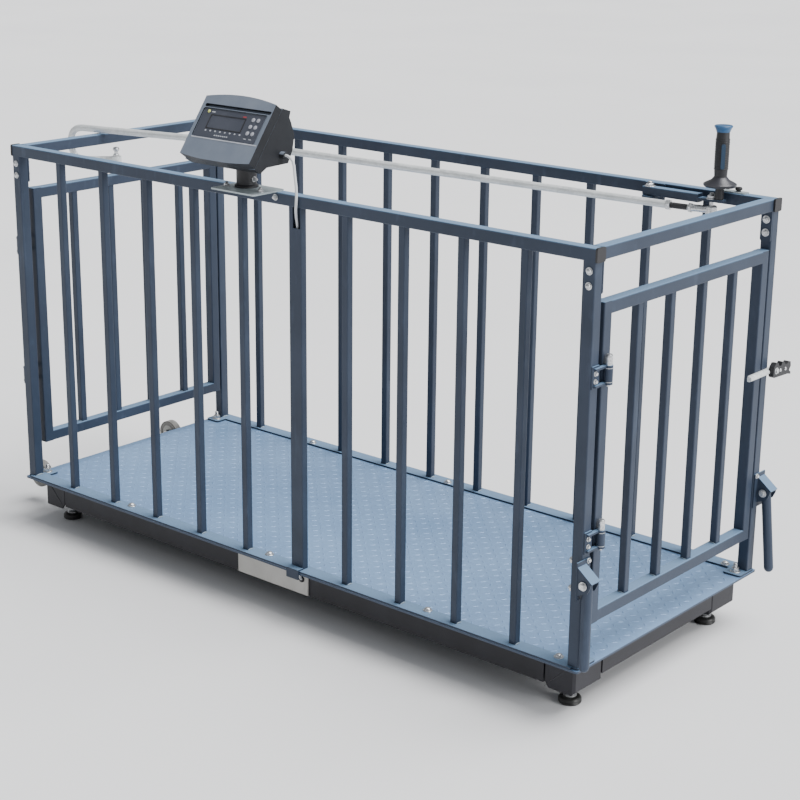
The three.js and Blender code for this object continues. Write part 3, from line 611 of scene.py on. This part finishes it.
def tread_pattern():
    """Studs over the whole deck, turned by turns, clear of the corner foot plates."""
    pitch = 27
    shapes = []
    for row in range(27):
        for column in range(73):
            x = (column - 36) * pitch
            y = (row - 13) * pitch
            if abs(x) > 935 and abs(y) > 312:
                continue
            turn = math.pi / 4 if (row + column) % 2 else -math.pi / 4
            shapes.append(lozenge(x, y, turn))
    make("tread_pattern", shapes, DECK_PAINT, "crate")


# ---- base ----
def threaded(low, high, radius, pitch=2.2):
    """A screw thread's ridges, as part of a profile for turned."""
    profile = []
    turns = int((high - low) / pitch)
    for i in range(turns):
        z = low + (high - low) * i / turns
        profile += [(radius - 0.9, z), (radius, z + pitch / 2)]
    return profile


def levelling_feet():
    """Each foot is a ribbed rubber pad on a threaded stud with a lock nut."""
    for end, end_name in ((-1, "left"), (1, "right")):
        for side, side_name in ((-1, "near"), (1, "far")):
            body = f"foot_{end_name}_{side_name}"
            foot = at(end * FOOT_X, side * FOOT_Y, 0)
            pad = [(0, 0), (25, 0), (27, 1.5), (28, 4), (27, 5.5), (28, 7), (27, 8.5), (28, 10), (27.6, 13),
                   (25, 16.5), (21, 18), (14, 18.6), (0, 18.6)]
            stud = [(0, 18.7), (16, 18.7), (16, 21), (13, 24), (9, 26), *threaded(26.5, 82.5, 9), (0, 82.8)]
            pad_shape = turned(pad, foot, UP, 36)
            rubber_pad = make(f"{body}_pad", [pad_shape], FOOT_RUBBER, body, smooth=True)
            steel = [turned(stud, foot, UP, 28), hex_head(foot + Vector((0, 0, 0.029)), UP, 15, 9)]
            make(f"{body}_stud", steel, STEEL, body)
            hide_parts(body)


def base_fittings():
    """Screws and the cable's grommet on the bare cover, and a seam on each corner housing."""
    shapes = []
    for x in (-131, 109):
        shapes += bolt(at(x, COVER_FACE_Y, 123), (0, -1, 0), 6, 5, dome=True)
    make("cover_screws", shapes, BLACK_PLASTIC, "crate", smooth=True)
    collar = [(0, 0), (8.5, 0), (8.5, 3), (7, 5.5), (4.4, 6), (4.0, 6), (0, 6)]
    grommet = turned(collar, at(96, COVER_FACE_Y + 0.1, 104), (0, -1, 0))
    make("cover_grommet", [grommet], BLACK_PLASTIC, "crate", smooth=True)
    seams = []
    for end in (-1, 1):
        for side in (-1, 1):
            low, high = at(end * 880, side * 366, 52), at(end * 962, side * 366, 133)
            run = high - low
            middle = (low + high) / 2
            seams.append(bead(middle, run.normalized(), run.length * 1000, 1.1, (0, side, 0)))
    make("housing_seams", seams, DARK_STEEL, "crate", smooth=True)


def wheel_fittings():
    """Axle nuts, the bracket's bolts and the tyre's ribs."""
    for side, name in ((-1, "near"), (1, "far")):
        shapes = []
        for edge in (-1, 1):
            axle_end = at(WHEEL_X, side * WHEEL_Y + edge * 21, WHEEL_Z)
            shapes += nut(axle_end, (0, edge, 0), 9, 7, 3)
        for y in (-19, 19):
            shapes += bolt(at(-971.2, side * WHEEL_Y + y * 1.15, 122), (-1, 0, 0), 4.5, 3.5)
        make(f"wheel_bolts_{name}", shapes, STEEL, "crate")
        hub = at(WHEEL_X, side * WHEEL_Y, WHEEL_Z)
        ribs = []
        for k in range(40):
            angle = 2 * math.pi * k / 40
            out = Vector((math.cos(angle), 0, math.sin(angle)))
            ribs.append(bead(hub + out * 0.0400, (0, 1, 0), 20, 0.9, out))
        make(f"tyre_ribs_{name}", ribs, TYRE_RUBBER, f"wheel_{name}", smooth=True)


# ---- carrying handles ----
def handle_fittings():
    """Each handle's pivot bolt, and the bolts that hold its bracket."""
    for side, name in ((-1, "near"), (1, "far")):
        y = side * 405
        shapes = bolt(at(1015, y - 19, HANDLE_PIVOT_Z), (0, -1, 0), 8, 6)
        shapes += nut(at(1015, y + 19, HANDLE_PIVOT_Z), (0, 1, 0), 8, 6, 3)
        for z in (401, 332):
            shapes += nut(at(965, side * RAIL_Y, z), (-1, 0, 0), 9, 8, 4)
        shapes += bolt(at(998.3, side * 380, 408), (1, 0, 0), 5, 3.5)
        make(f"handle_bolts_{name}", shapes, STEEL, "crate")


# ---- gates ----
def latch_fittings():
    """Two rivets in the latch's lever, and its pivot bolt on the gate's strap."""
    shapes = []
    for y, z in ((432, 685), (458, 683)):
        shapes.append(dome_head(at(1014.6, y, z), (1, 0, 0), 4.5, 3))
    make("latch_rivets", shapes, STEEL, "latch", smooth=True)
    pivot = bolt(at(1014.2, 412, 687), (1, 0, 0), 6.5, 4)
    make("latch_pivot_bolt", pivot, STEEL, "gate_right")


def hinge_fittings():
    """Bright washers above and below each gate eye, and the plate's two bolts on the post."""
    shapes = []
    for end in (-1, 1):
        for z in HINGE_HEIGHTS:
            for lift in (-17, 15.2):
                shapes.append(washer(at(end * 1006, -346, z + lift), UP, 9.5))
            for lift in (-9, 9):
                shapes += bolt(at(end * 999.4, -388, z + lift), (end, 0, 0), 4.5, 4)
    make("hinge_bolts", shapes, STEEL, "crate")


# ---- gate lever ----
def lever_fittings():
    """The nuts on the lever's ball joint and pivot, and the grip's flange, inlay, cap and ribs."""
    shapes = nut(at(BALL_X, LEVER_Y, TONGUE_TOP), UP, 11, 8, 5)
    make("ball_nut", shapes, STEEL, "lever")
    flange = [(0, 0), (40.6, 0), (41.6, 1.5), (41.6, 4.5), (36.5, 8), (22.5, 15), (17, 22), (0, 22)]
    flange_shape = turned(flange, at(GRIP_X, LEVER_Y, 1150.8), UP, 40)
    make("grip_flange", [flange_shape], FLANGE_PLASTIC, "lever", smooth=True)
    inlay_foot = at(GRIP_X + 11.4, LEVER_Y - 13.6, 1194)
    strip = slab(rounded(-5, 5, 0, 62, 4), inlay_foot, (0.77, 0.64, 0), UP, 1.6)
    make("grip_inlay", [strip], DEEP_BLUE, "lever", smooth=True)
    flare = [(0, 0), (17.5, 0), (18, 3), (20, 8), (22.8, 12.5), (23, 14.5), (21.5, 16), (12, 16.6), (0, 16.7)]
    cap_shape = turned(flare, at(GRIP_X, LEVER_Y, 1284.3), UP, 36)
    cap = make("grip_flared_cap", [cap_shape], BLUE_PLASTIC, "lever", smooth=True)
    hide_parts("grip_cap")
    rib = [(0, 0), (17.9, 0), (18.4, 1.2), (17.9, 2.4), (0, 2.4)]
    ribs = [turned(rib, at(GRIP_X, LEVER_Y, z), UP, 32) for z in range(1192, 1270, 6)]
    make("grip_ribs", ribs, BLACK_PLASTIC, "lever", smooth=True)
    pivot = nut(at(LEVER_X, LEVER_Y, LEVER_TOP), UP, 10.5, 6, 5)
    make("pivot_nut", pivot, STEEL, "crate")


def rail_catch():
    """The pale plate with a small dark knob on the far rail, beside the grip."""
    plate = slab(rounded(-52, 26, -12, 12, 4), at(885, 386, 1130.2), (1, 0, 0), (0, 1, 0), 3)
    make("catch_plate", [plate], BRACKET_ZINC, "crate")
    knob = [(0, 0), (6, 0), (6, 3), (9, 4.5), (9.5, 8), (7.5, 11), (0, 11.8)]
    knob_shape = turned(knob, at(885, 388, 1133.2), UP)
    make("catch_knob", [knob_shape], DARK_STEEL, "crate", smooth=True)
    screws = bolt(at(845, 386, 1133.2), UP, 4, 3)
    make("catch_screw", screws, STEEL, "crate")


def rod_fittings():
    """The adjuster: a run of dark thread beyond the rod end, with lock nuts."""
    start = at(BALL_X, LEVER_Y, BALL_Z)
    bend = at(*ROD_BEND, BALL_Z)
    run = (bend - start).normalized()
    slope = Vector((run.x, run.y, ROD_SLOPE)).normalized()
    shank = start + run * 0.060
    ridges = [(7.2 + (i % 2) * 0.9, 1 + i * 1.4) for i in range(34)]
    profile = [(0, 0), *ridges, (0, 49)]
    make("rod_thread", [turned(profile, shank, slope, 20)], DARK_STEEL, "rod")
    nuts = [hex_head(start + run * 0.050, run, 13, 8), hex_head(shank + slope * 0.046, slope, 14, 12)]
    make("rod_nuts", nuts, STEEL, "rod")


# ---- indicator ----
ACROSS = Vector((1, 0, 0))
UP_FACE = Vector((0, math.sin(FACE_LEAN), math.cos(FACE_LEAN)))
OUT_FACE = ACROSS.cross(UP_FACE)


def on_face(x, y, out):
    """A place on the indicator's sloping face: across, up and outward, in millimetres."""
    return at(*FACE_ORIGIN) + (ACROSS * x + UP_FACE * y + OUT_FACE * out) / 1000


def face_plate(outline, out, thick):
    return slab(outline, on_face(0, 0, out), ACROSS, UP_FACE, thick)


def printed(a0, a1, b0, b1, radius):
    """A thin printed mark on the film."""
    return face_plate(rounded(a0, a1, b0, b1, radius), FILM_TOP, 0.5)


def indicator_face():
    """The printed film with its window frame, status lamp, plain marks and six round keys."""
    film = face_plate(rounded(-111, 101, 48, 127, 5), FILM_TOP - 0.5, 0.5)
    make("face_film", [film], PANEL_FILM, "crate")
    line = face_plate(rounded(-112, 115, 43.5, 46.5, 1.4), -0.2, 0.9)
    make("pale_line", [line], MARK_PAINT, "crate", smooth=True)
    bezel = []
    for low, high in ((110, 112), (73, 75)):
        bezel.append(face_plate(rounded(-78, 40, low, high, 0.9), FILM_TOP, 1.0))
    for left, right in ((-80, -77.4), (39.4, 42)):
        bezel.append(face_plate(rounded(left, right, 73, 112, 1.2), FILM_TOP, 1.0))
    make("window_bezel", bezel, CASE_DARK, "crate")
    lamp = [(0, 0), (4.2, 0), (4.0, 1.6), (2.6, 2.8), (0, 3.1)]
    lamp_shape = turned(lamp, on_face(-92, 119, FILM_TOP), OUT_FACE, 20)
    make("status_lamp", [lamp_shape], LAMP_YELLOW, "crate", smooth=True)
    marks = [printed(x - 2.6, x + 2.6, 65.5, 69.5, 1.8) for x in range(-76, 44, 17)]
    marks += [printed(x, x + 4.5, 55, 58, 1) for x in range(-40, 4, 7)]
    marks.append(printed(-82, -70, 117, 120, 1))
    marks += [printed(x, x + 9, 58, 60, 0.9) for x in (60, 78)]
    make("panel_marks", marks, MARK_PAINT, "crate")
    make("red_panel_mark", [printed(28, 40, 114, 118, 1.5)], RED_MARK, "crate")
    key = [(0, 0), (5.4, 0), (5.4, 0.9), (4.4, 1.5), (0, 1.5)]
    caps = []
    for x in (67, 84):
        for y in (74, 92, 111):
            caps.append(turned(key, on_face(x, y, -1.2), OUT_FACE, 20))
    make("key_caps", caps, KEY_PLASTIC, "crate", smooth=True)


def segment_digits():
    """Six unlit seven-segment digits behind the filter."""
    flat_bars = [(0, y, 7, 1.6) for y in (12, 0, -12)]
    upright_bars = [(x, y, 1.6, 10) for y in (6, -6) for x in (-4.4, 4.4)]
    first_x, pitch, middle_y = -64, 18, 92.5
    shapes = []
    for k in range(6):
        for x, y, wide, tall in flat_bars + upright_bars:
            a, b = first_x + pitch * k + x, middle_y + y
            outline = rounded(a - wide / 2, a + wide / 2, b - tall / 2, b + tall / 2, 0.7, 2)
            shapes.append(face_plate(outline, -3.3, 0.35))
    make("digit_segments", shapes, RED_GHOST, "crate")


def pole_fittings():
    """The pole's clamp nut and collar, and the nuts that hold the bracket plate."""
    shapes = nut(at(POLE_X + 25.6, POLE_Y, 1156), (1, 0, 0), 5.5, 4, 6)
    make("pole_clamp_bolt", shapes, STEEL, "crate")
    shapes = []
    for x in (30, -88):
        shapes += nut(at(x, -440, BRACKET_TOP), UP, 7, 6, 4)
    make("bracket_bolts", shapes, STEEL, "crate")
    under = nut(at(42, -400.3, 1117), (0, -1, 0), 6, 5, 3)
    make("bracket_rail_nut", under, STEEL, "crate")
    collar = [(0, 0), (28, 0), (28.6, 1), (28.6, 9), (27.5, 10), (0, 10)]
    collar_shape = turned(collar, at(POLE_X, POLE_Y, 1184), UP, 40)
    make("pole_collar", [collar_shape], BLACK_PLASTIC, "crate", smooth=True)


deck_bolts()
foot_plate_bolts()
corner_bolts()
bar_welds()
gate_welds()
tread_pattern()
levelling_feet()
base_fittings()
wheel_fittings()
handle_fittings()
hinge_fittings()
latch_fittings()
lever_fittings()
rail_catch()
rod_fittings()
indicator_face()
segment_digits()
pole_fittings()


# ---- floor and light ----
def make_floor():
    mesh = bpy.data.meshes.new("floor")
    reach = 60
    corners = [(-reach, -reach, 0), (reach, -reach, 0), (reach, reach, 0), (-reach, reach, 0)]
    mesh.from_pydata(corners, [], [(0, 1, 2, 3)])
    mat = Material("floor_pale", roughness=0.9)
    mat.color(mat.ramp(mat.noise(0.6, 3), [(0.3, (0.80, 0.80, 0.81)), (0.7, (0.84, 0.84, 0.845))]))
    mesh.materials.append(mat.data)
    floor = bpy.data.objects.new("floor", mesh)
    bpy.context.collection.objects.link(floor)


def make_lights():
    """An even pale sky, a soft key light from above and a weaker one on the right end."""
    world = bpy.data.worlds.new("studio")
    bpy.context.scene.world = world
    world.use_nodes = True
    sky = world.node_tree.nodes["Background"]
    sky.inputs["Color"].default_value = (0.93, 0.96, 1.0, 1)
    sky.inputs["Strength"].default_value = 0.42
    suns = (("key", 4.6, 45, (0.30, 0.30, 1.0)), ("side", 2.2, 30, (1.0, 0.12, 0.35)))
    for name, strength, spread, toward in suns:
        data = bpy.data.lights.new(name, "SUN")
        data.energy = strength
        data.angle = math.radians(spread)
        sun = bpy.data.objects.new(name, data)
        sun.rotation_mode = "QUATERNION"
        sun.rotation_quaternion = Vector(toward).normalized().to_track_quat("Z", "Y")
        bpy.context.collection.objects.link(sun)


make_floor()
make_lights()
